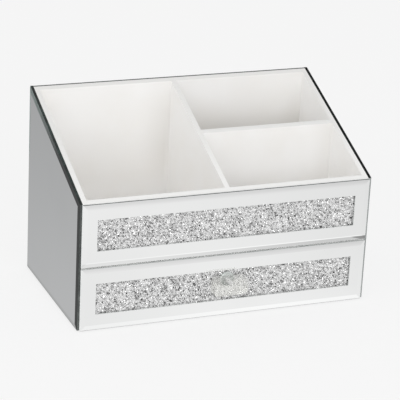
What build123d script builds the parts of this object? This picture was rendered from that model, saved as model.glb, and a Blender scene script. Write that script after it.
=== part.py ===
from build123d import *
import os

os.makedirs("parts", exist_ok=True)

# Mirrored makeup box: three open compartments under a sloping rim, one drawer below them.
# +Z is up, the front looks along -Y, and the origin is the middle of the underside.
# All sizes are in millimetres.

# Overall size
width = 270.0
depth = 150.0
height = 175.0
front_height = 115.5  # top of the side mirrors at their front edge

# Mirror glass
side_glass_t = 3.0
back_glass_t = 3.0
front_glass_t = 2.5
front_inset = 2.4  # from the outer face of a side mirror in to the end of the front mirrors
bevel_width = 4.5  # ground bevel, measured on the face
bevel_depth = 0.6  # ground bevel, measured on the edge
panel_gap = 1.0  # between the drawer mirror and the fixed mirror above it

# Boards of the box
felt_t = 1.0
felt_inset = 3.0
base_t = 3.0
side_t = 4.5
back_t = 4.5
floor_t = 4.0
front_t = 4.5
divider_t = 4.5
long_divider_x = -0.8
cross_divider_y = 0.7
mat_t = 1.5
mat_gap = 0.5

# Crushed crystal strips, each let into a window in a front mirror
crystal_end_margin = 13.4
crystal_edge_margin = 14.3
crystal_gap = 0.2  # round the strip in its window
crystal_recess = 0.3  # the strip lies this far behind the mirror's face

# Drawer
drawer_mirror_height = 56.7
drawer_overlap = 0.7  # the drawer mirror's top covers this much of the compartment floor's edge
drawer_front_t = 5.0
drawer_side_t = 3.0
drawer_back_t = 3.0
drawer_bottom_t = 2.5
drawer_side_drop = 13.5  # from the top of the drawer's front board down to its sides
side_run_gap = 0.5
bottom_run_gap = 0.3
top_run_gap = 0.5
rear_run_gap = 1.0
stop_gap = 0.3  # between the closed drawer's mirror and the box's front edges

# Knob
knob_width = 30.0
knob_height = 14.0
knob_length = 12.0
knob_chamfer = 1.6
knob_drop = 3.5  # from the collar's axis down to the knob's middle
collar_radius = 6.5
collar_t = 2.5
collar_chamfer = 0.5
collar_margin = 1.1  # from the top of the crystal strip down to the collar
screw_radius = 2.0
screw_reach = 8.0  # thread inside the knob
screw_head_radius = 4.0
screw_head_t = 2.6
screw_slot_width = 1.0
screw_slot_depth = 1.2
screw_clearance = 0.2  # radial, in the pieces that the screw passes through
thread_clearance = 0.05  # radial, in the knob
blind_clearance = 1.0  # beyond the screw's tip
washer_radius = 5.0
washer_t = 1.0

# Depths, from the front to the back
front_y = -depth / 2
back_y = depth / 2
front_glass_back_y = front_y + front_glass_t
edge_y = front_glass_back_y + stop_gap
front_inner_y = front_glass_back_y + front_t
board_back_y = back_y - back_glass_t
back_inner_y = board_back_y - back_t

# Distances from the middle to each side
side_glass_x = width / 2 - side_glass_t
side_inner_x = side_glass_x - side_t
front_half_width = width / 2 - front_inset
crystal_half_width = front_half_width - crystal_end_margin

# Heights of the box
base_top_z = felt_t + base_t
drawer_mirror_top_z = felt_t + drawer_mirror_height
upper_mirror_z = drawer_mirror_top_z + panel_gap
floor_z = drawer_mirror_top_z - drawer_overlap
floor_top_z = floor_z + floor_t

# Drawer limits
drawer_half_width = side_inner_x - side_run_gap
drawer_inner_x = drawer_half_width - drawer_side_t
drawer_bottom_z = base_top_z + bottom_run_gap
drawer_floor_z = drawer_bottom_z + drawer_bottom_t
drawer_front_top_z = floor_z - top_run_gap
drawer_side_height = drawer_front_top_z - drawer_side_drop - drawer_floor_z
drawer_front_inner_y = front_glass_back_y + drawer_front_t
drawer_back_y = back_inner_y - rear_run_gap
drawer_back_inner_y = drawer_back_y - drawer_back_t


def rim_z(y):
    """Height of the sloping rim at depth y."""
    rise = (height - front_height) / (back_y - edge_y)
    return front_height + rise * (y - edge_y)


upper_mirror_top_z = rim_z(front_glass_back_y)

# Knob places
crystal_face_y = front_y + crystal_recess
collar_z = drawer_mirror_top_z - crystal_edge_margin - crystal_gap - collar_margin - collar_radius
knob_z = collar_z - knob_drop
collar_face_y = crystal_face_y - collar_t
head_seat_y = drawer_front_inner_y + washer_t
screw_length = head_seat_y - collar_face_y + screw_reach


def flat_board(x_low, x_high, y_low, y_high, z_low, thickness):
    """A board that lies flat, or a low wall, cut square on every side."""
    with BuildPart() as board:
        with BuildSketch(Plane.XY.offset(z_low)):
            with Locations(((x_low + x_high) / 2, (y_low + y_high) / 2)):
                Rectangle(x_high - x_low, y_high - y_low)
        extrude(amount=thickness)
    return board


def sloped_board(x_low, x_high, y_low, y_high, z_low):
    """An upright board whose top edge follows the sloping rim."""
    with BuildPart() as board:
        with BuildSketch(Plane.YZ.offset(x_low)):
            with BuildLine():
                Polyline((y_low, rim_z(y_low)), (y_low, z_low), (y_high, z_low), (y_high, rim_z(y_high)), close=True)
            make_face()
        extrude(amount=x_high - x_low)
    return board


def side_mirror(x_low, outward):
    """A side mirror with a bevel ground round its outer face; outward is 1 for the +X side, -1 for the -X side."""
    with BuildPart() as mirror:
        add(sloped_board(x_low, x_low + side_glass_t, edge_y, back_y, felt_t).part)
        outer_face = mirror.faces().sort_by(Axis((0, 0, 0), (outward, 0, 0)))[-1]
        chamfer(outer_face.edges(), length=bevel_width, length2=bevel_depth, reference=outer_face)
    return mirror


def front_mirror(z_low, z_high):
    """A front mirror with a window for its crystal strip and a bevel ground round its face."""
    with BuildPart() as mirror:
        with BuildSketch(Plane.XZ.offset(-front_glass_back_y)):
            with Locations((0, (z_low + z_high) / 2)):
                Rectangle(2 * front_half_width, z_high - z_low)
                Rectangle(2 * crystal_half_width, z_high - z_low - 2 * crystal_edge_margin, mode=Mode.SUBTRACT)
        extrude(amount=front_glass_t)
        face = mirror.faces().sort_by(Axis.Y)[0]
        chamfer(face.outer_wire().edges(), length=bevel_width, length2=bevel_depth, reference=face)
    return mirror


def crystal_strip(z_low, z_high):
    """A bed of crushed crystal for the window of the front mirror between these heights."""
    strip_height = z_high - z_low - 2 * crystal_edge_margin - 2 * crystal_gap
    with BuildPart() as strip:
        with BuildSketch(Plane.XZ.offset(-front_glass_back_y)):
            with Locations((0, (z_low + z_high) / 2)):
                Rectangle(2 * (crystal_half_width - crystal_gap), strip_height)
        extrude(amount=front_glass_back_y - crystal_face_y)
    return strip


def mat(x_low, x_high, y_low, y_high, z_low):
    """A felt mat that lies between four walls."""
    return flat_board(x_low + mat_gap, x_high - mat_gap, y_low + mat_gap, y_high - mat_gap, z_low, mat_t)


# Underside felt and base board
base_felt = flat_board(
    felt_inset - side_glass_x, side_glass_x - felt_inset, edge_y + felt_inset, board_back_y - felt_inset, 0, felt_t
)
base_board = flat_board(-side_glass_x, side_glass_x, edge_y, board_back_y, felt_t, base_t)

# Walls of the box
left_side_board = sloped_board(-side_glass_x, -side_inner_x, edge_y, board_back_y, base_top_z)
right_side_board = sloped_board(side_inner_x, side_glass_x, edge_y, board_back_y, base_top_z)
back_board = sloped_board(-side_inner_x, side_inner_x, back_inner_y, board_back_y, base_top_z)

# Floor of the compartments, which is also the roof over the drawer, and the wall in front of them
compartment_floor = flat_board(-side_inner_x, side_inner_x, edge_y, back_inner_y, floor_z, floor_t)
upper_front_board = sloped_board(-side_inner_x, side_inner_x, front_glass_back_y, front_inner_y, floor_top_z)

# Dividers: one from front to back, and one across the right half
divider_left_x = long_divider_x - divider_t / 2
divider_right_x = long_divider_x + divider_t / 2
cross_front_y = cross_divider_y - divider_t / 2
cross_back_y = cross_divider_y + divider_t / 2
long_divider = sloped_board(divider_left_x, divider_right_x, front_inner_y, back_inner_y, floor_top_z)
cross_divider = sloped_board(divider_right_x, side_inner_x, cross_front_y, cross_back_y, floor_top_z)

# Felt mats on the floor of each compartment
left_mat = mat(-side_inner_x, divider_left_x, front_inner_y, back_inner_y, floor_top_z)
front_right_mat = mat(divider_right_x, side_inner_x, front_inner_y, cross_front_y, floor_top_z)
back_right_mat = mat(divider_right_x, side_inner_x, cross_back_y, back_inner_y, floor_top_z)

# Mirrors and crystal of the box
left_side_mirror = side_mirror(-width / 2, -1)
right_side_mirror = side_mirror(side_glass_x, 1)
back_mirror = flat_board(-side_glass_x, side_glass_x, board_back_y, back_y, felt_t, rim_z(board_back_y) - felt_t)
upper_front_mirror = front_mirror(upper_mirror_z, upper_mirror_top_z)
upper_crystal_strip = crystal_strip(upper_mirror_z, upper_mirror_top_z)

# Drawer's front board, with a hole for the knob's screw
with BuildPart() as drawer_front_board:
    with BuildSketch(Plane.XZ.offset(-front_glass_back_y)):
        with Locations((0, (drawer_bottom_z + drawer_front_top_z) / 2)):
            Rectangle(2 * drawer_half_width, drawer_front_top_z - drawer_bottom_z)
        with Locations((0, collar_z)):
            Circle(screw_radius + screw_clearance, mode=Mode.SUBTRACT)
    extrude(amount=-drawer_front_t)

# Drawer's tray, behind the front board
drawer_bottom = flat_board(
    -drawer_half_width, drawer_half_width, drawer_front_inner_y, drawer_back_y, drawer_bottom_z, drawer_bottom_t
)
drawer_left_side = flat_board(
    -drawer_half_width, -drawer_inner_x, drawer_front_inner_y, drawer_back_y, drawer_floor_z, drawer_side_height
)
drawer_right_side = flat_board(
    drawer_inner_x, drawer_half_width, drawer_front_inner_y, drawer_back_y, drawer_floor_z, drawer_side_height
)
drawer_back = flat_board(
    -drawer_inner_x, drawer_inner_x, drawer_back_inner_y, drawer_back_y, drawer_floor_z, drawer_side_height
)
drawer_mat = mat(-drawer_inner_x, drawer_inner_x, drawer_front_inner_y, drawer_back_inner_y, drawer_floor_z)

# Drawer's mirror and crystal
drawer_front_mirror = front_mirror(felt_t, drawer_mirror_top_z)
with BuildPart() as drawer_crystal_strip:
    add(crystal_strip(felt_t, drawer_mirror_top_z).part)
    with BuildSketch(Plane.XZ.offset(-front_glass_back_y)):
        with Locations((0, collar_z)):
            Circle(screw_radius + screw_clearance)
    extrude(amount=front_glass_back_y - crystal_face_y, mode=Mode.SUBTRACT)

# Clear knob: a block with ground edges and a blind hole for the screw
with BuildPart() as knob_block:
    with BuildSketch(Plane.XZ.offset(-collar_face_y)):
        with Locations((0, knob_z)):
            Rectangle(knob_width, knob_height)
    extrude(amount=knob_length)
    back_edges = knob_block.faces().sort_by(Axis.Y)[-1].edges()
    chamfer(knob_block.edges() - back_edges, length=knob_chamfer)
    with BuildSketch(Plane.XZ.offset(-collar_face_y)):
        with Locations((0, collar_z)):
            Circle(screw_radius + thread_clearance)
    extrude(amount=screw_reach + blind_clearance, mode=Mode.SUBTRACT)

# Round metal collar between the knob and the crystal strip
with BuildPart() as knob_collar:
    with BuildSketch(Plane.XZ.offset(-crystal_face_y)):
        with Locations((0, collar_z)):
            Circle(collar_radius)
            Circle(screw_radius + screw_clearance, mode=Mode.SUBTRACT)
    extrude(amount=collar_t)
    outer_rims = knob_collar.edges().filter_by(GeomType.CIRCLE).sort_by(SortBy.RADIUS)[-2:]
    chamfer(outer_rims.sort_by(Axis.Y)[0], length=collar_chamfer)

# Washer and screw, put in from inside the drawer
with BuildPart() as knob_washer:
    with BuildSketch(Plane.XZ.offset(-drawer_front_inner_y)):
        with Locations((0, collar_z)):
            Circle(washer_radius)
            Circle(screw_radius + screw_clearance, mode=Mode.SUBTRACT)
    extrude(amount=-washer_t)

with BuildPart() as knob_screw:
    with BuildSketch(Plane.XZ.offset(-head_seat_y)):
        with Locations((0, collar_z)):
            Circle(screw_radius)
    extrude(amount=screw_length)
    with BuildSketch(Plane.XZ.offset(-head_seat_y)):
        with Locations((0, collar_z)):
            Circle(screw_head_radius)
    extrude(amount=-screw_head_t)
    with BuildSketch(Plane.XZ.offset(-head_seat_y - screw_head_t)):
        with Locations((0, collar_z)):
            Rectangle(2 * screw_head_radius, screw_slot_width)
    extrude(amount=screw_slot_depth, mode=Mode.SUBTRACT)

box_pieces = {
    "base_felt": base_felt,
    "base_board": base_board,
    "left_side_board": left_side_board,
    "right_side_board": right_side_board,
    "back_board": back_board,
    "compartment_floor": compartment_floor,
    "upper_front_board": upper_front_board,
    "long_divider": long_divider,
    "cross_divider": cross_divider,
    "left_mat": left_mat,
    "front_right_mat": front_right_mat,
    "back_right_mat": back_right_mat,
    "left_side_mirror": left_side_mirror,
    "right_side_mirror": right_side_mirror,
    "back_mirror": back_mirror,
    "upper_front_mirror": upper_front_mirror,
    "upper_crystal_strip": upper_crystal_strip,
}
drawer_pieces = {
    "drawer_front_board": drawer_front_board,
    "drawer_bottom": drawer_bottom,
    "drawer_left_side": drawer_left_side,
    "drawer_right_side": drawer_right_side,
    "drawer_back": drawer_back,
    "drawer_mat": drawer_mat,
    "drawer_front_mirror": drawer_front_mirror,
    "drawer_crystal_strip": drawer_crystal_strip,
    "knob_block": knob_block,
    "knob_collar": knob_collar,
    "knob_washer": knob_washer,
    "knob_screw": knob_screw,
}
for name, piece in {**box_pieces, **drawer_pieces}.items():
    piece.part.label = name
    export_step(piece.part, f"parts/{name}.step")
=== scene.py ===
import math
import random

import bmesh
import bpy
from mathutils import Euler, Matrix, Vector


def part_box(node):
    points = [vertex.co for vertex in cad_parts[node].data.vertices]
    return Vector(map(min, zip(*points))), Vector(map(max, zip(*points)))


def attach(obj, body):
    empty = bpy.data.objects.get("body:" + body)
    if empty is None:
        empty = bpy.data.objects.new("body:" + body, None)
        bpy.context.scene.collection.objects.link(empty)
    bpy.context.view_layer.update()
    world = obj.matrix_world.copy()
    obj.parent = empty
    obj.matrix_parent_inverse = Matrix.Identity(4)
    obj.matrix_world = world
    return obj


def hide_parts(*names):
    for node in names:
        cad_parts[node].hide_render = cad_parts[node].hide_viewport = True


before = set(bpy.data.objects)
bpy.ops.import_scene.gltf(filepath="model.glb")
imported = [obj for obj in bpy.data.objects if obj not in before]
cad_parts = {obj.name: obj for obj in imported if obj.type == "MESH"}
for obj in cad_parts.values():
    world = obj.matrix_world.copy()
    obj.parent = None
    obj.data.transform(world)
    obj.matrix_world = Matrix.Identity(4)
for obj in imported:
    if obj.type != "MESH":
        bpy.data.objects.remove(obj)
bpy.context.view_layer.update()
mm = 0.001
weld = 0.001 * mm  # points this close become one
hair = 0.01 * mm
near = 0.1 * mm


# Shader nodes, written as sums

class Wire:
    def __init__(self, shader, socket):
        self.shader = shader
        self.socket = socket

    def maths(self, operation, *values):
        return self.shader.node("ShaderNodeMath", {"operation": operation}, dict(enumerate(values)))

    def __add__(self, other):
        return self.maths("ADD", self, other)

    def __radd__(self, other):
        return self.maths("ADD", other, self)

    def __sub__(self, other):
        return self.maths("SUBTRACT", self, other)

    def __rsub__(self, other):
        return self.maths("SUBTRACT", other, self)

    def __mul__(self, other):
        return self.maths("MULTIPLY", self, other)

    def __rmul__(self, other):
        return self.maths("MULTIPLY", other, self)

    def __truediv__(self, other):
        return self.maths("DIVIDE", self, other)

    def __pow__(self, other):
        return self.maths("POWER", self, other)


class Shader:
    def __init__(self, name, world=False):
        self.owner = bpy.data.worlds.new(name) if world else bpy.data.materials.new(name)
        self.owner.use_nodes = True
        self.tree = self.owner.node_tree
        self.tree.nodes.clear()
        self.world = world

    def node(self, kind, settings=None, inputs=None, output=0):
        made = self.tree.nodes.new(kind)
        for key, value in (settings or {}).items():
            if key == "stops":
                self.setStops(made.color_ramp, value)
            else:
                setattr(made, key, value)
        for key, value in (inputs or {}).items():
            if isinstance(value, Wire):
                self.tree.links.new(value.socket, made.inputs[key])
            else:
                made.inputs[key].default_value = value
        return Wire(self, made.outputs[output]) if made.outputs else None

    def setStops(self, ramp, stops):
        while len(ramp.elements) < len(stops):
            ramp.elements.new(1.0)
        for element, (place, colour) in zip(ramp.elements, stops):
            element.position = place
            element.color = colour

    def coords(self):
        return self.node("ShaderNodeTexCoord", output="Object")

    def part(self, vector, axis):
        return self.node("ShaderNodeSeparateXYZ", None, {0: vector}, output=axis)

    def place(self, axis):  # in millimetres
        return self.part(self.coords(), axis) / mm

    def facing(self, axis):
        return self.part(self.node("ShaderNodeNewGeometry", output="Normal"), axis)

    def ray(self, kind):
        return self.node("ShaderNodeLightPath", output=f"Is {kind} Ray")

    def noise(self, scale, detail=2.0, stretch=(1, 1, 1), roughness=0.5):
        place = self.node("ShaderNodeMapping", None, {"Vector": self.coords(), "Scale": stretch})
        return self.node("ShaderNodeTexNoise", None,
                         {"Vector": place, "Scale": scale, "Detail": detail, "Roughness": roughness})

    def spread(self, value, low, high, toLow=0.0, toHigh=1.0):
        ends = {"From Min": low, "From Max": high, "To Min": toLow, "To Max": toHigh}
        return self.node("ShaderNodeMapRange", {"interpolation_type": "SMOOTHSTEP"}, {"Value": value} | ends)

    def tint(self, factor, low, high):
        inputs = {"Factor": factor, 6: low, 7: high}
        return self.node("ShaderNodeMix", {"data_type": "RGBA"}, inputs, output=2)

    def bump(self, height, strength, distance):
        inputs = {"Height": height, "Strength": strength, "Distance": distance}
        return self.node("ShaderNodeBump", None, inputs)

    def mixed(self, factor, first, second):
        return self.node("ShaderNodeMixShader", None, {0: factor, 1: first, 2: second})

    def surface(self, inputs):
        return self.node("ShaderNodeBsdfPrincipled", None, inputs)

    def finish(self, shader):
        kind = "ShaderNodeOutputWorld" if self.world else "ShaderNodeOutputMaterial"
        self.node(kind, None, {"Surface": shader})
        return self.owner


def grey(level):
    return (level, level, level, 1.0)


# Finishes

def paintedBoard():
    look = {
        "shade": (0.922, 0.910, 0.889, 1), "light": (0.94, 0.933, 0.922, 1), "paintedShade": (0.70, 0.68, 0.645, 1),
        "lowRimShade": (0.875, 0.874, 0.862, 1), "highRimShade": (0.79, 0.785, 0.77, 1), "rimHeights": (112, 155),
        "rough": 0.62, "patchy": 0.16, "specular": 0.3, "rim": (0.35, 0.8), "frontFacing": (-0.9, -0.6, 1, 0),
        # reach in mm and depth of the painted shade beside each board
        "corners": {"long_divider": (34, 0.5), "right_side_board": (24, 0.3)},
        "cornerFoot": (66, 118, 0.05, 1), "cornerTop": (135, 170, 1, 0.35),
        "backWall": (60, 66), "rightHalf": (0, 2), "rightLow": (112, 158, 0.55, 0),
        "leftHalf": (-8, -4, 1, 0), "leftFoot": (64, 88), "leftTop": (96, 140, 0.22, 0),
    }
    s = Shader("paintedBoard")
    cloud = s.noise(24, 3)
    grain = s.noise(2600, 2)
    x = s.place("X")
    z = s.place("Z")
    rimShadeMask = s.spread(s.facing("Z"), *look["rim"]) * (0.85 + cloud * 0.3)  # painted shade: the rims that face up are painted darker than the walls

    # painted shade: walls that face the front are painted darker by their right corners, and the back wall
    # also lower down
    paintedShade = 0.0
    for board, (reach, depth) in look["corners"].items():
        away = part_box(board)[0].x / mm - x
        paintedShade = s.spread(away, -0.1, reach, depth, 0) * s.spread(away, -0.3, 0) + paintedShade
    paintedShade = paintedShade * s.spread(z, *look["cornerFoot"]) * s.spread(z, *look["cornerTop"])
    backWall = s.spread(s.place("Y"), *look["backWall"])
    right = s.spread(x, *look["rightHalf"]) * s.spread(z, *look["rightLow"])
    left = s.spread(x, *look["leftHalf"]) * s.spread(z, *look["leftFoot"]) * s.spread(z, *look["leftTop"])
    paintedShade = (paintedShade + (right + left) * backWall) * s.spread(s.facing("Y"), *look["frontFacing"])

    paint = s.tint(s.spread(cloud, 0.3, 0.7), look["shade"], look["light"])
    # painted shade on the rims, darker higher up
    rim = s.tint(s.spread(z, *look["rimHeights"]), look["lowRimShade"], look["highRimShade"])
    return s.finish(s.surface({
        "Base Color": s.tint(rimShadeMask, s.tint(paintedShade, paint, look["paintedShade"]), rim),
        "Roughness": look["rough"] + (cloud - 0.5) * look["patchy"],
        "Specular IOR Level": look["specular"],
        "Normal": s.bump(grain + cloud * 0.6, 0.12, 0.0002),
    }))


def silverRoughness(s, stretch=(1, 1, 1)):
    look = {"rough": 0.012, "haze": 0.03}
    haze = s.spread(s.noise(9, 4, stretch), 0.42, 0.8)
    return haze, look["rough"] + haze * look["haze"]


def silveredGlass(name, clean, hazy):
    s = Shader(name)
    haze, roughness = silverRoughness(s, (1, 1, 1.4))
    return s.finish(s.surface({
        "Base Color": s.tint(haze, clean, hazy),
        "Metallic": 1.0,
        "Roughness": roughness,
    }))


def bevelSilver(name, top, under=None):
    # painted reflection: the top bevel is painted lighter where it fades into the face and darker at its
    # outer edge, and the one over the drawer has a painted shade for the drawer's reflection, which gets
    # darker to the right
    look = {"clean": (0.91, 0.915, 0.912, 1), "inner": grey(1.0), "outer": (0.89, 0.895, 0.892, 1),
            "shade": grey(0.0), "fadeFrom": 4.4, "fadeTo": 0.6, "facingUp": (0.04, 0.1)}
    s = Shader(name)
    z = s.place("Z")
    paintedReflection = s.tint(s.spread(z, top - look["fadeFrom"], top - look["fadeTo"]), look["inner"], look["outer"])
    colour = s.tint(s.spread(s.facing("Z"), *look["facingUp"]), look["clean"], paintedReflection)
    if under:
        x = s.place("X")
        start = under["wedgeStart"]
        below = 1 - s.spread(z, under["line"] - 0.4, under["line"] + 0.3)
        wedgeFoot = under["line"] - (x - start) * under["wedgeFall"]
        wedge = s.spread(x, start - 2, start + 4) * s.spread(z - wedgeFoot, -0.4, 0.4)
        shade = below * (s.spread(x, *under["across"]) + wedge * under["wedge"])
        colour = s.tint(shade, colour, look["shade"])
    return s.finish(s.surface({
        "Base Color": colour,
        "Metallic": 1.0,
        "Roughness": silverRoughness(s)[1],
    }))


def sideBevelSilver():
    # the sloping bevel is hazy and greenish towards the back, and the low one has a painted shade at its
    # foot, darkest in a line along the bottom
    look = {"clean": (0.88, 0.90, 0.90, 1), "green": (0.74, 0.86, 0.83, 1), "footShade": (0.7, 0.72, 0.72, 1),
            "line": (0.5, 0.52, 0.52, 1), "rough": 0.02, "haze": 0.42, "lineTop": (1.7, 2.9),
            "footTop": (4.2, 6.2), "slopeHeight": (100, 120), "slopeDepth": (-50, 70)}
    s = Shader("sideBevelSilver")
    z = s.place("Z")
    sloped = s.spread(z, *look["slopeHeight"]) * s.spread(s.place("Y"), *look["slopeDepth"])
    haze = sloped * (0.75 + s.noise(60, 2) * 0.5)
    footShade = s.tint(s.spread(z, *look["lineTop"]), look["line"], look["footShade"])
    colour = s.tint(s.spread(z, *look["footTop"]), footShade, look["clean"])
    return s.finish(s.surface({
        "Base Color": s.tint(sloped, colour, look["green"]),
        "Metallic": 1.0,
        "Roughness": look["rough"] + haze * look["haze"],
    }))


# the ground glass edge comes in copies painted in different light: deep shaded, shaded, half shaded, half lit
# and lit
def glassEdge(name, low, high, specular=0.5):
    look = {"rough": 0.22, "streaky": 0.2}
    s = Shader(name)
    streaks = s.noise(90, 3, (0.5, 1, 1))
    return s.finish(s.surface({
        "Base Color": s.tint(s.spread(streaks, 0.35, 0.75), low, high),
        "Roughness": look["rough"] + streaks * look["streaky"],
        "Specular IOR Level": specular,
        "Normal": s.bump(s.noise(1800, 2), 0.08, 0.0001),
    }))


def mirrorBacking():
    look = {"dark": grey(0.22), "light": grey(0.30), "rough": 0.5, "patchy": 0.2}
    s = Shader("mirrorBacking")
    cloud = s.noise(40, 3)
    return s.finish(s.surface({
        "Base Color": s.tint(cloud, look["dark"], look["light"]),
        "Roughness": look["rough"] + cloud * look["patchy"],
        "Normal": s.bump(s.noise(900, 2), 0.1, 0.0002),
    }))


def crushedGlass():
    look = {"dark": grey(0.0), "light": grey(1.0), "lightFrom": 0.56, "flawed": 0.2, "rough": 0.04,
            "rougher": 0.08, "glint": 1.0, "sparkle": 0.6, "paintedGlintFrom": 0.82, "paintedGlint": grey(0.14)}
    s = Shader("crushedGlass")
    tone = s.node("ShaderNodeAttribute", {"attribute_name": "chipTone"}, output="Fac")
    flaw = s.noise(700, 2)
    stops = [(0.0, look["dark"]), (look["lightFrom"], look["light"])]
    level = tone + (flaw - 0.5) * look["flawed"]
    return s.finish(s.surface({
        "Base Color": s.node("ShaderNodeValToRGB", {"stops": stops}, {"Fac": level}),
        "Metallic": look["sparkle"],
        "Roughness": look["rough"] + flaw * look["rougher"],
        "Specular IOR Level": look["glint"],
        # painted glint: the brightest chips are given a faint glow of their own
        "Emission Color": s.tint(s.spread(tone, look["paintedGlintFrom"], 1.0), grey(0.0), look["paintedGlint"]),
        "Emission Strength": 1.0,
    }))


def silverBed():
    look = {"dark": grey(0.8), "light": grey(0.98), "metal": 0.4, "rough": 0.3, "patchy": 0.2}
    s = Shader("silverBed")
    cloud = s.noise(500, 3)
    return s.finish(s.surface({
        "Base Color": s.tint(s.spread(cloud, 0.35, 0.65), look["dark"], look["light"]),
        "Metallic": look["metal"],
        "Roughness": look["rough"] + cloud * look["patchy"],
        "Normal": s.bump(cloud, 0.5, 0.0004),
    }))


def clearBlock():
    look = {"clean": (0.985, 0.985, 0.945, 1), "smudged": (0.995, 0.995, 0.97, 1), "rough": 0.05,
            "smeared": 0.08, "index": 1.2, "through": 0.35, "body": 0.2, "smudge": 0.1, "fleck": 0.46,
            "milky": (0.45, 0.85, 1.05, 0.55)}
    s = Shader("clearBlock")
    smudge = s.noise(90, 3)
    smear = s.spread(smudge, 0.3, 0.7)
    fleck = s.spread(s.noise(760, 1), 0.4, 0.6)
    low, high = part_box("knob_block")
    height = (s.part(s.coords(), "Z") - low.z) / (high.z - low.z)
    milky = s.spread(height, *look["milky"])  # paler towards its foot
    return s.finish(s.surface({
        "Base Color": s.tint(smudge, look["clean"], look["smudged"]),
        "Roughness": look["rough"] + s.spread(smudge, 0.4, 0.8) * look["smeared"],
        "IOR": look["index"],
        "Transmission Weight": look["through"],
        "Alpha": milky * (look["body"] + smear * look["smudge"] + fleck * look["fleck"]),
        "Normal": s.bump(s.noise(520, 2), 0.7, 0.0008),
    }))


def polishedMetal():
    look = {"dark": (0.54, 0.57, 0.555, 1), "light": (0.68, 0.705, 0.69, 1), "metal": 0.55, "rough": 0.26,
            "smeared": 0.16}
    s = Shader("polishedMetal")
    smudge = s.noise(150, 3)
    return s.finish(s.surface({
        "Base Color": s.tint(smudge, look["dark"], look["light"]),
        "Metallic": look["metal"],
        "Roughness": look["rough"] + smudge * look["smeared"],
    }))


def zincSteel():
    look = {"dark": (0.6, 0.6, 0.59, 1), "light": (0.7, 0.7, 0.71, 1), "metal": 0.5, "rough": 0.38,
            "turned": 0.2}
    s = Shader("zincSteel")
    turned = s.noise(3000, 1, (1, 0.05, 1))
    return s.finish(s.surface({
        "Base Color": s.tint(s.noise(600, 3), look["dark"], look["light"]),
        "Metallic": look["metal"],
        "Roughness": look["rough"] + turned * look["turned"],
        "Normal": s.bump(turned, 0.1, 0.0001),
    }))


def felt(name, shade, light):
    look = {"rough": 0.9, "patchy": 0.08, "sheen": 0.3}
    s = Shader(name)
    fibre = s.noise(1500, 4, roughness=0.7)
    patch = s.noise(70, 3)
    return s.finish(s.surface({
        "Base Color": s.tint(s.spread(fibre * 0.6 + patch * 0.4, 0.35, 0.65), shade, light),
        "Roughness": look["rough"] + patch * look["patchy"],
        "Sheen Weight": look["sheen"],
        "Normal": s.bump(fibre, 0.6, 0.0006),
    }))


# painted shade for the drawer's reflection: it starts at a line 62.3 mm up, and has a darker wedge at its
# right end
drawerShade = {"line": 62.3, "across": (-120, 105, 0.14, 0.36), "wedge": 0.32, "wedgeStart": 117.0,
               "wedgeFall": 0.3}
finishes = {
    "board": paintedBoard(),
    "silver": silveredGlass("silveredGlass", (0.91, 0.915, 0.912, 1), (0.875, 0.88, 0.877, 1)),
    "sideSilver": silveredGlass("sideSilveredGlass", (0.895, 0.91, 0.92, 1), (0.86, 0.872, 0.88, 1)),
    "drawerBevel": bevelSilver("drawerBevelSilver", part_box("drawer_front_mirror")[1].z / mm),
    "upperBevel": bevelSilver("upperBevelSilver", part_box("upper_front_mirror")[1].z / mm, drawerShade),
    "sideBevel": sideBevelSilver(),
    "darkEdge": glassEdge("shadedGlassEdge", (0.004, 0.007, 0.006, 1), (0.03, 0.05, 0.045, 1), 0.22),
    "blackEdge": glassEdge("deepShadedGlassEdge", (0.002, 0.003, 0.003, 1), (0.008, 0.012, 0.011, 1), 0.06),
    "greyEdge": glassEdge("halfShadedGlassEdge", (0.07, 0.077, 0.075, 1), (0.145, 0.157, 0.15, 1), 0.3),
    "paleEdge": glassEdge("halfLitGlassEdge", (0.33, 0.35, 0.345, 1), (0.4, 0.42, 0.415, 1)),
    "brightEdge": glassEdge("litGlassEdge", (0.8, 0.82, 0.815, 1), (0.92, 0.93, 0.925, 1)),
    "backing": mirrorBacking(),
    "chips": crushedGlass(),
    "bed": silverBed(),
    "clear": clearBlock(),
    "chrome": polishedMetal(),
    "zinc": zincSteel(),
    "whiteFelt": felt("whiteFelt", (0.84, 0.83, 0.81, 1), (0.92, 0.91, 0.89, 1)),
    "greyFelt": felt("greyFelt", (0.10, 0.10, 0.105, 1), (0.2, 0.2, 0.205, 1)),
}
print("finishes made:", len(finishes))


# Making pieces

def copyOfNode(node):
    bm = bmesh.new()
    bm.from_mesh(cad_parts[node].data)
    bmesh.ops.remove_doubles(bm, verts=bm.verts, dist=weld)
    bmesh.ops.dissolve_limit(bm, angle_limit=math.radians(1), verts=bm.verts, edges=bm.edges)
    return bm


def bevelled(bm, edges, offset, segments):
    bmesh.ops.bevel(bm, geom=edges, offset=offset, offset_type="OFFSET", segments=segments, profile=0.5,
                    affect="EDGES", material=-1, clamp_overlap=True)


def sharpEdges(bm, least=30):
    return [e for e in bm.edges if e.is_manifold and e.calc_face_angle(0) > math.radians(least)]


def isUpright(edge):
    run = edge.verts[0].co - edge.verts[1].co
    return abs(run.z) > 0.9 * run.length


def placed(bm, low, high):
    bmesh.ops.transform(bm, matrix=Matrix.LocRotScale((low + high) / 2, None, high - low), verts=bm.verts)


def addPiece(name, bm, looks, body, nodes, smooth=True):
    mesh = bpy.data.meshes.new(name)
    bm.to_mesh(mesh)
    bm.free()
    if smooth:
        mesh.shade_smooth()
        mesh.set_sharp_from_angle(angle=math.radians(25))
    for look in looks:
        mesh.materials.append(finishes[look])
    piece = bpy.data.objects.new(name, mesh)
    bpy.context.scene.collection.objects.link(piece)
    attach(piece, body)
    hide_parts(*nodes)
    return piece


def softBoard(name, node, body, look="board", slot="painted_board", arris=0.3 * mm, segments=2):
    bm = copyOfNode(node)
    bevelled(bm, sharpEdges(bm), arris, segments)
    return addPiece(name, bm, [look], body, [node])


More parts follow.
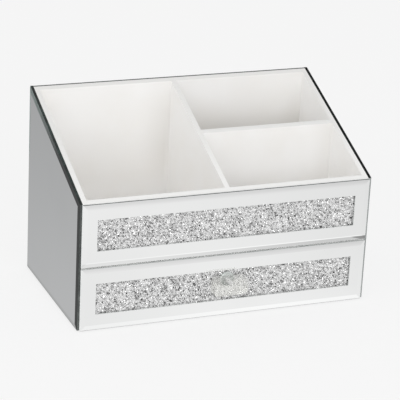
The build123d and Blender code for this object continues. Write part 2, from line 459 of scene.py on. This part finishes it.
# Walls of the box: one lining, cut to the slope of the side mirrors

def slopeStart():
    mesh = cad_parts["left_side_mirror"].data
    front = min(v.co.y for v in mesh.vertices)
    return max(v.co.z for v in mesh.vertices if v.co.y < front + hair)


frontRim = slopeStart()


def rimHeight(y):
    sideFront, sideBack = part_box("left_side_mirror")
    rise = (sideBack.z - frontRim) / (sideBack.y - sideFront.y)
    return frontRim + rise * (y - sideFront.y)


def boxWalls():
    # the rims come out at about 0.05 mm, because the narrow corner bevels limit them
    size = {"rimRound": 1.1 * mm, "rimSteps": 4, "cornerRound": 0.15 * mm, "cornerSteps": 2,
            "clearFloor": 5 * mm}
    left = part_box("left_side_board")
    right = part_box("right_side_board")
    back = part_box("back_board")
    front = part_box("upper_front_board")
    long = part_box("long_divider")
    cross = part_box("cross_divider")
    floorTop = front[0].z
    xLines = [left[0].x, left[1].x, long[0].x, long[1].x, right[0].x, right[1].x]
    yLines = [front[0].y, front[1].y, cross[0].y, cross[1].y, back[0].y, back[1].y]

    bm = bmesh.new()
    bmesh.ops.create_grid(bm, x_segments=1, y_segments=1, size=0.5)
    middle = Vector(((xLines[0] + xLines[-1]) / 2, (yLines[0] + yLines[-1]) / 2, floorTop))
    span = Vector((xLines[-1] - xLines[0], yLines[-1] - yLines[0], 1))
    bmesh.ops.transform(bm, matrix=Matrix.LocRotScale(middle, None, span), verts=bm.verts)
    for normal, lines in ((Vector((1, 0, 0)), xLines), (Vector((0, 1, 0)), yLines)):
        for line in lines[1:-1]:
            everything = bm.verts[:] + bm.edges[:] + bm.faces[:]
            bmesh.ops.bisect_plane(bm, geom=everything, plane_co=normal * line, plane_no=normal)

    def inCompartment(face):
        c = face.calc_center_median()
        inLeft = xLines[1] < c.x < xLines[2] and yLines[1] < c.y < yLines[4]
        inFrontRight = xLines[3] < c.x < xLines[4] and yLines[1] < c.y < yLines[2]
        inBackRight = xLines[3] < c.x < xLines[4] and yLines[3] < c.y < yLines[4]
        return inLeft or inFrontRight or inBackRight

    def isOuterFoot(face):
        c = face.calc_center_median()
        outer = c.x < xLines[1] or c.x > xLines[4] or c.y > yLines[4]
        return outer and abs(c.z - floorTop) < hair and face.normal.z < -0.9

    def extruded(faces):
        made = bmesh.ops.extrude_face_region(bm, geom=faces)["geom"]
        return [g for g in made if isinstance(g, bmesh.types.BMVert)]

    bmesh.ops.delete(bm, geom=[f for f in bm.faces if inCompartment(f)], context="FACES")
    for vert in extruded(bm.faces[:]):
        vert.co.z = rimHeight(vert.co.y)
    bmesh.ops.recalc_face_normals(bm, faces=bm.faces)
    for vert in extruded([f for f in bm.faces if isOuterFoot(f)]):
        vert.co.z = left[0].z
        vert.co.y = max(vert.co.y, left[0].y)  # clear of the drawer's mirror
    bmesh.ops.remove_doubles(bm, verts=bm.verts, dist=weld)
    bmesh.ops.recalc_face_normals(bm, faces=bm.faces)
    bmesh.ops.dissolve_limit(bm, angle_limit=math.radians(0.5), verts=bm.verts, edges=bm.edges)

    def facesOpening(edge):
        inX = all(xLines[0] + near < v.co.x < xLines[-1] - near for v in edge.verts)
        inY = all(yLines[0] + near < v.co.y < yLines[-1] - near for v in edge.verts)
        return inX and inY

    def isRim(edge):
        high = all(v.co.z > floorTop + size["clearFloor"] for v in edge.verts)
        return facesOpening(edge) and high and any(f.normal.z > 0.5 for f in edge.link_faces)

    def isCorner(edge):
        high = max(v.co.z for v in edge.verts) > floorTop + size["clearFloor"]
        return facesOpening(edge) and high and isUpright(edge)

    bevelled(bm, [e for e in sharpEdges(bm) if isCorner(e)], size["cornerRound"], size["cornerSteps"])
    bevelled(bm, [e for e in sharpEdges(bm) if isRim(e)], size["rimRound"], size["rimSteps"])
    bmesh.ops.recalc_face_normals(bm, faces=bm.faces)
    nodes = ["left_side_board", "right_side_board", "back_board", "upper_front_board", "long_divider",
             "cross_divider"]
    return addPiece("boxWalls", bm, ["board"], "box", nodes)


boxWalls()
softBoard("baseBoard", "base_board", "box")
softBoard("compartmentFloor", "compartment_floor", "box")
softBoard("undersideFelt", "base_felt", "box", "greyFelt", "grey_felt")
matSoftness = {"arris": 0.5 * mm, "segments": 3}
mats = {"leftMat": "left_mat", "frontRightMat": "front_right_mat", "backRightMat": "back_right_mat"}
for name, node in mats.items():
    softBoard(name, node, "box", "whiteFelt", "white_felt", **matSoftness)
print("box walls, floor and mats made")


# Mirrors

def mirrorPlate(name, node, body, outward, looks, arris, uprightArris=None, bevelDepth=None):
    size = {"tipRound": 2.2 * mm, "tipSteps": 4, "onOutline": 0.05 * mm, "underRim": 2 * mm, "sharp": 50}
    bm = copyOfNode(node)
    low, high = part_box(node)
    out = Vector(outward)
    if bevelDepth:  # this plate's bevel is ground flatter
        for vert in bm.verts:
            if low.x + near < vert.co.x < high.x - near:
                vert.co.x = high.x - bevelDepth
    if abs(out.x) > 0.5:  # the sharp top corner at the back is ground round
        tip = [e for e in bm.edges if all(v.co.z > high.z - near for v in e.verts)]
        bevelled(bm, tip, size["tipRound"], size["tipSteps"])
    across = [axis for axis in range(3) if abs(outward[axis]) < 0.5]

    def isOutline(edge):
        middle = (edge.verts[0].co + edge.verts[1].co) / 2
        inset = min(min(middle[axis] - low[axis], high[axis] - middle[axis]) for axis in across)
        return inset < size["onOutline"] or middle.z > frontRim - size["underRim"]

    def partOf(face):
        facing = face.normal.dot(out)
        if abs(facing) > 0.95:
            return "back" if facing < 0 else "face" if facing > 0.99999 else "bevel"
        if abs(facing) >= 0.3:
            upright = abs(face.normal.z) < 0.3
            return "uprightArris" if upright else "upperArris" if face.normal.z > 0 else "lowerArris"
        return "top" if face.normal.z > 0.5 else "frontEdge" if face.normal.y < -0.5 else "edge"

    def outline():
        return [e for e in sharpEdges(bm, size["sharp"]) if isOutline(e)]

    if uprightArris:
        bevelled(bm, [e for e in outline() if isUpright(e)], uprightArris, 1)
        bevelled(bm, [e for e in outline() if not isUpright(e)], arris, 1)
    else:
        bevelled(bm, outline(), arris, 1)
    used = sorted(set(looks.values()))
    for face in bm.faces:
        face.material_index = used.index(looks.get(partOf(face), looks["edge"]))
    return addPiece(name, bm, used, body, [node], smooth=False)


# each face of a plate takes the edge copy whose painted light or shade suits it
sideLooks = {"face": "sideSilver", "bevel": "sideBevel", "back": "backing", "edge": "darkEdge"}
frontLooks = {"face": "silver", "bevel": "silver", "back": "backing", "edge": "brightEdge"}
leftLooks = sideLooks | {"frontEdge": "greyEdge"}
rightLooks = sideLooks | {"edge": "blackEdge", "frontEdge": "paleEdge"}
upperLooks = frontLooks | {"bevel": "upperBevel", "upperArris": "darkEdge"}
drawerLooks = frontLooks | {"bevel": "drawerBevel", "lowerArris": "greyEdge", "upperArris": "paleEdge"}
mirrorPlate("leftSideMirror", "left_side_mirror", "box", (-1, 0, 0), leftLooks, arris=0.15 * mm)
mirrorPlate("rightSideMirror", "right_side_mirror", "box", (1, 0, 0), rightLooks, arris=0.12 * mm,
            uprightArris=0.5 * mm, bevelDepth=0.15 * mm)
mirrorPlate("backMirror", "back_mirror", "box", (0, 1, 0), sideLooks, arris=0.15 * mm)
mirrorPlate("upperFrontMirror", "upper_front_mirror", "box", (0, -1, 0), upperLooks, arris=0.4 * mm)
mirrorPlate("drawerFrontMirror", "drawer_front_mirror", "drawer", (0, -1, 0), drawerLooks, arris=0.4 * mm)
print("mirrors made")


# Crushed crystal

def chipShapes(count, corners, rng):
    shapes = []
    for _ in range(count):
        bm = bmesh.new()
        for _ in range(corners):
            point = Vector([rng.gauss(0, 1) for _ in range(3)]).normalized() * rng.uniform(0.75, 1.0)
            bmesh.ops.create_vert(bm, co=point)
        bmesh.ops.convex_hull(bm, input=bm.verts)
        bmesh.ops.recalc_face_normals(bm, faces=bm.faces)
        mesh = bpy.data.meshes.new("chipShape")
        bm.to_mesh(mesh)
        bm.free()
        shapes.append(mesh)
    return shapes


def crystalStrip(name, node, body, seed):
    size = {"shapes": 14, "corners": 11, "pitch": 1.12 * mm, "least": 0.5 * mm, "most": 1.0 * mm,
            "stray": 0.45, "bed": 0.5 * mm, "uneven": 0.5 * mm, "spill": 0.3 * mm, "darkRim": 1.3 * mm,
            "rightShade": 0.35, "otherShade": 0.6, "facet": 0.06}
    stray = size["stray"]
    rng = random.Random(seed)
    shapes = chipShapes(size["shapes"], size["corners"], rng)
    low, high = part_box(node)
    bm = bmesh.new()
    bmesh.ops.create_cube(bm, size=1)
    placed(bm, Vector((low.x, high.y - size["bed"], low.z)), high)
    bedFaces = len(bm.faces)
    columns = round((high.x - low.x) / size["pitch"])
    rows = round((high.z - low.z) / size["pitch"])
    tones = [0.0] * bedFaces
    for column in range(columns):
        for row in range(rows):
            radius = rng.uniform(size["least"], size["most"])
            shape = rng.choice(shapes)
            x = low.x + (column + 0.5 + rng.uniform(-stray, stray)) * (high.x - low.x) / columns
            z = low.z + (row + 0.5 + rng.uniform(-stray, stray)) * (high.z - low.z) / rows
            reach = 0.85 * radius - size["spill"]
            x = min(max(x, low.x + reach), high.x - reach)
            z = min(max(z, low.z + reach), high.z - reach)
            turn = Euler([rng.uniform(0, math.tau) for _ in range(3)])
            stretch = Vector([rng.uniform(0.8, 1.0) for _ in range(3)]) * radius
            chip = shape.copy()
            chip.transform(Matrix.LocRotScale(Vector((x, 0, z)), turn, stretch))
            front = min(v.co.y for v in chip.vertices)
            chip.transform(Matrix.Translation((0, low.y - front + rng.uniform(0, size["uneven"]), 0)))
            bm.from_mesh(chip)
            bpy.data.meshes.remove(chip)
            tone = rng.random()
            if high.x - x < size["darkRim"]:
                tone *= size["rightShade"]
            elif min(x - low.x, z - low.z) < size["darkRim"]:  # resin and painted shade along the window's edges
                tone *= size["otherShade"]
            facets = [tone + rng.uniform(-size["facet"], size["facet"]) for _ in shape.polygons]
            tones += [min(1, max(0, facet)) for facet in facets]
    for index, face in enumerate(bm.faces):
        face.material_index = 1 if index < bedFaces else 0
    piece = addPiece(name, bm, ["chips", "bed"], body, [node], smooth=False)
    attribute = piece.data.attributes.new("chipTone", "FLOAT", "FACE")
    attribute.data.foreach_set("value", tones)
    for shape in shapes:
        bpy.data.meshes.remove(shape)
    return piece


crystalStrip("upperCrystal", "upper_crystal_strip", "box", seed=11)
crystalStrip("drawerCrystal", "drawer_crystal_strip", "drawer", seed=23)
print("crystal strips made")


# Drawer and knob

def knobBlock():
    size = {"chamfer": 0.9 * mm, "arris": 0.2 * mm}
    low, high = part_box("knob_block")
    bm = bmesh.new()
    bmesh.ops.create_cube(bm, size=1)
    placed(bm, low, high)
    bevelled(bm, [e for e in bm.edges if min(v.co.y for v in e.verts) < low.y + near], size["chamfer"], 1)
    bevelled(bm, sharpEdges(bm, 60), size["arris"], 1)
    return addPiece("knobBlock", bm, ["clear"], "drawer", ["knob_block"], smooth=False)


softBoard("drawerFrontBoard", "drawer_front_board", "drawer")
softBoard("drawerBottom", "drawer_bottom", "drawer")
trayWalls = {"drawerLeftSide": "drawer_left_side", "drawerRightSide": "drawer_right_side",
             "drawerBack": "drawer_back"}
for name, node in trayWalls.items():
    softBoard(name, node, "drawer", arris=0.6 * mm, segments=3)
softBoard("drawerMat", "drawer_mat", "drawer", "whiteFelt", "white_felt", **matSoftness)
knobBlock()
softBoard("knobCollar", "knob_collar", "drawer", "chrome", "polished_metal", arris=0.12 * mm)
for name, node in {"knobWasher": "knob_washer", "knobScrew": "knob_screw"}.items():
    softBoard(name, node, "drawer", "zinc", "steel", arris=0.1 * mm, segments=1)
print("drawer and knob made")


# Stage: floor, world, lamps, camera

def paleFloor():
    look = {"seen": 0.963, "lit": 0.86, "share": 0.8, "size": 4}
    s = Shader("paleFloor")
    matt = s.node("ShaderNodeBsdfDiffuse", None, {"Color": grey(look["lit"])})
    glow = s.node("ShaderNodeEmission", None, {"Color": grey(look["seen"]), "Strength": 1.0})
    clear = s.node("ShaderNodeBsdfTransparent")
    seen = s.mixed(s.ray("Camera") * look["share"], matt, glow)
    unseen = s.spread(s.ray("Glossy") + s.ray("Transmission"), 0, 1)  # the mirrors show the world instead
    floor = bpy.data.meshes.new("floor")
    bm = bmesh.new()
    bmesh.ops.create_grid(bm, x_segments=8, y_segments=8, size=look["size"])
    bm.to_mesh(floor)
    bm.free()
    floor.materials.append(s.finish(s.mixed(unseen, seen, clear)))
    plane = bpy.data.objects.new("floor", floor)
    bpy.context.scene.collection.objects.link(plane)


def studioWorld():
    # what the mirrors show: a dim room behind with a dark flag at each side, and a bright one ahead and above
    look = {"ambient": 0.808, "seen": 0.925, "behindHigh": 0.395, "behindLow": 0.505, "footShade": 0.08,
            "flag": 0.075, "frontLow": 1.06, "frontHigh": 0.79, "frontRight": 0.12, "leftFoot": -0.1,
            "rightFoot": 0.06, "above": 1.0}
    s = Shader("studioWorld", world=True)
    direction = s.node("ShaderNodeTexCoord", output="Generated")
    x, y, z = [s.part(direction, axis) for axis in "XYZ"]
    across = ((x * x) ** 0.5) / ((x * x + y * y + 0.0001) ** 0.5)
    flag = s.spread(across, 0.35, 0.43) * (1 - s.spread(across, 0.85, 0.97))
    behind = s.spread(z, -0.44, -0.28, look["behindLow"], look["behindHigh"])
    behind = behind - s.spread(z, -0.53, -0.46, look["footShade"], 0)
    behind = behind + (look["flag"] - behind) * flag
    ahead = s.spread(z, -0.62, -0.05, look["frontLow"], look["frontHigh"])
    ahead = ahead - s.spread(x, 0.25, 0.48, 0, look["frontRight"])
    low = s.spread(z, -0.41, -0.35, 1, 0.2)
    ahead = ahead + s.spread(x, 0.28, 0.4, look["leftFoot"], look["rightFoot"]) * low
    level = behind + (ahead - behind) * s.spread(y, -0.25, 0.15, 1, 0)
    mirrored = level + (look["above"] - level) * s.spread(z, -0.02, 0.3)
    strength = look["ambient"] + (look["seen"] - look["ambient"]) * s.ray("Camera")
    strength = strength + (mirrored - strength) * s.spread(s.ray("Glossy") + s.ray("Transmission"), 0, 1)
    background = s.node("ShaderNodeBackground", None, {"Color": grey(1), "Strength": strength})
    bpy.context.scene.world = s.finish(background)


def lamp(name, direction, size, power):
    target = Vector((0, 0, 0.09))
    distance = 1.7
    place = target + Vector(direction).normalized() * distance
    light = bpy.data.lights.new(name, "AREA")
    light.shape = "DISK"
    light.size = size
    light.energy = power
    holder = bpy.data.objects.new(name, light)
    holder.location = place
    holder.rotation_euler = (target - place).to_track_quat("-Z", "Y").to_euler()
    bpy.context.scene.collection.objects.link(holder)


def camera():
    view = {"place": (-0.58969, -1.42482, 0.65742), "azimuth": 22.577, "elevation": 20.501, "roll": 2.902,
            "focal": 1841.3, "image": 400, "sensor": 36, "nearest": 0.05}
    azimuth = math.radians(view["azimuth"])
    elevation = math.radians(view["elevation"])
    roll = math.radians(view["roll"])
    forward = Vector((math.sin(azimuth) * math.cos(elevation), math.cos(azimuth) * math.cos(elevation),
                      -math.sin(elevation)))
    right = forward.cross(Vector((0, 0, 1))).normalized()
    up = right.cross(forward)
    rolledRight = right * math.cos(roll) + up * math.sin(roll)
    rolledUp = up * math.cos(roll) - right * math.sin(roll)
    data = bpy.data.cameras.new("camera")
    data.sensor_width = view["sensor"]
    data.lens = view["focal"] / view["image"] * view["sensor"]
    data.clip_start = view["nearest"]
    holder = bpy.data.objects.new("camera", data)
    holder.matrix_world = Matrix((rolledRight, rolledUp, -forward)).transposed().to_4x4()
    holder.location = view["place"]
    bpy.context.scene.collection.objects.link(holder)
    bpy.context.scene.camera = holder


paleFloor()
studioWorld()
lamp("frontLamp", (-0.08, -0.93, 0.33), size=0.8, power=4.7)
lamp("leftLamp", (-0.7, -0.5, 0.5), size=0.9, power=2.7)
camera()
bpy.context.scene.view_settings.view_transform = "Standard"
print("stage set")
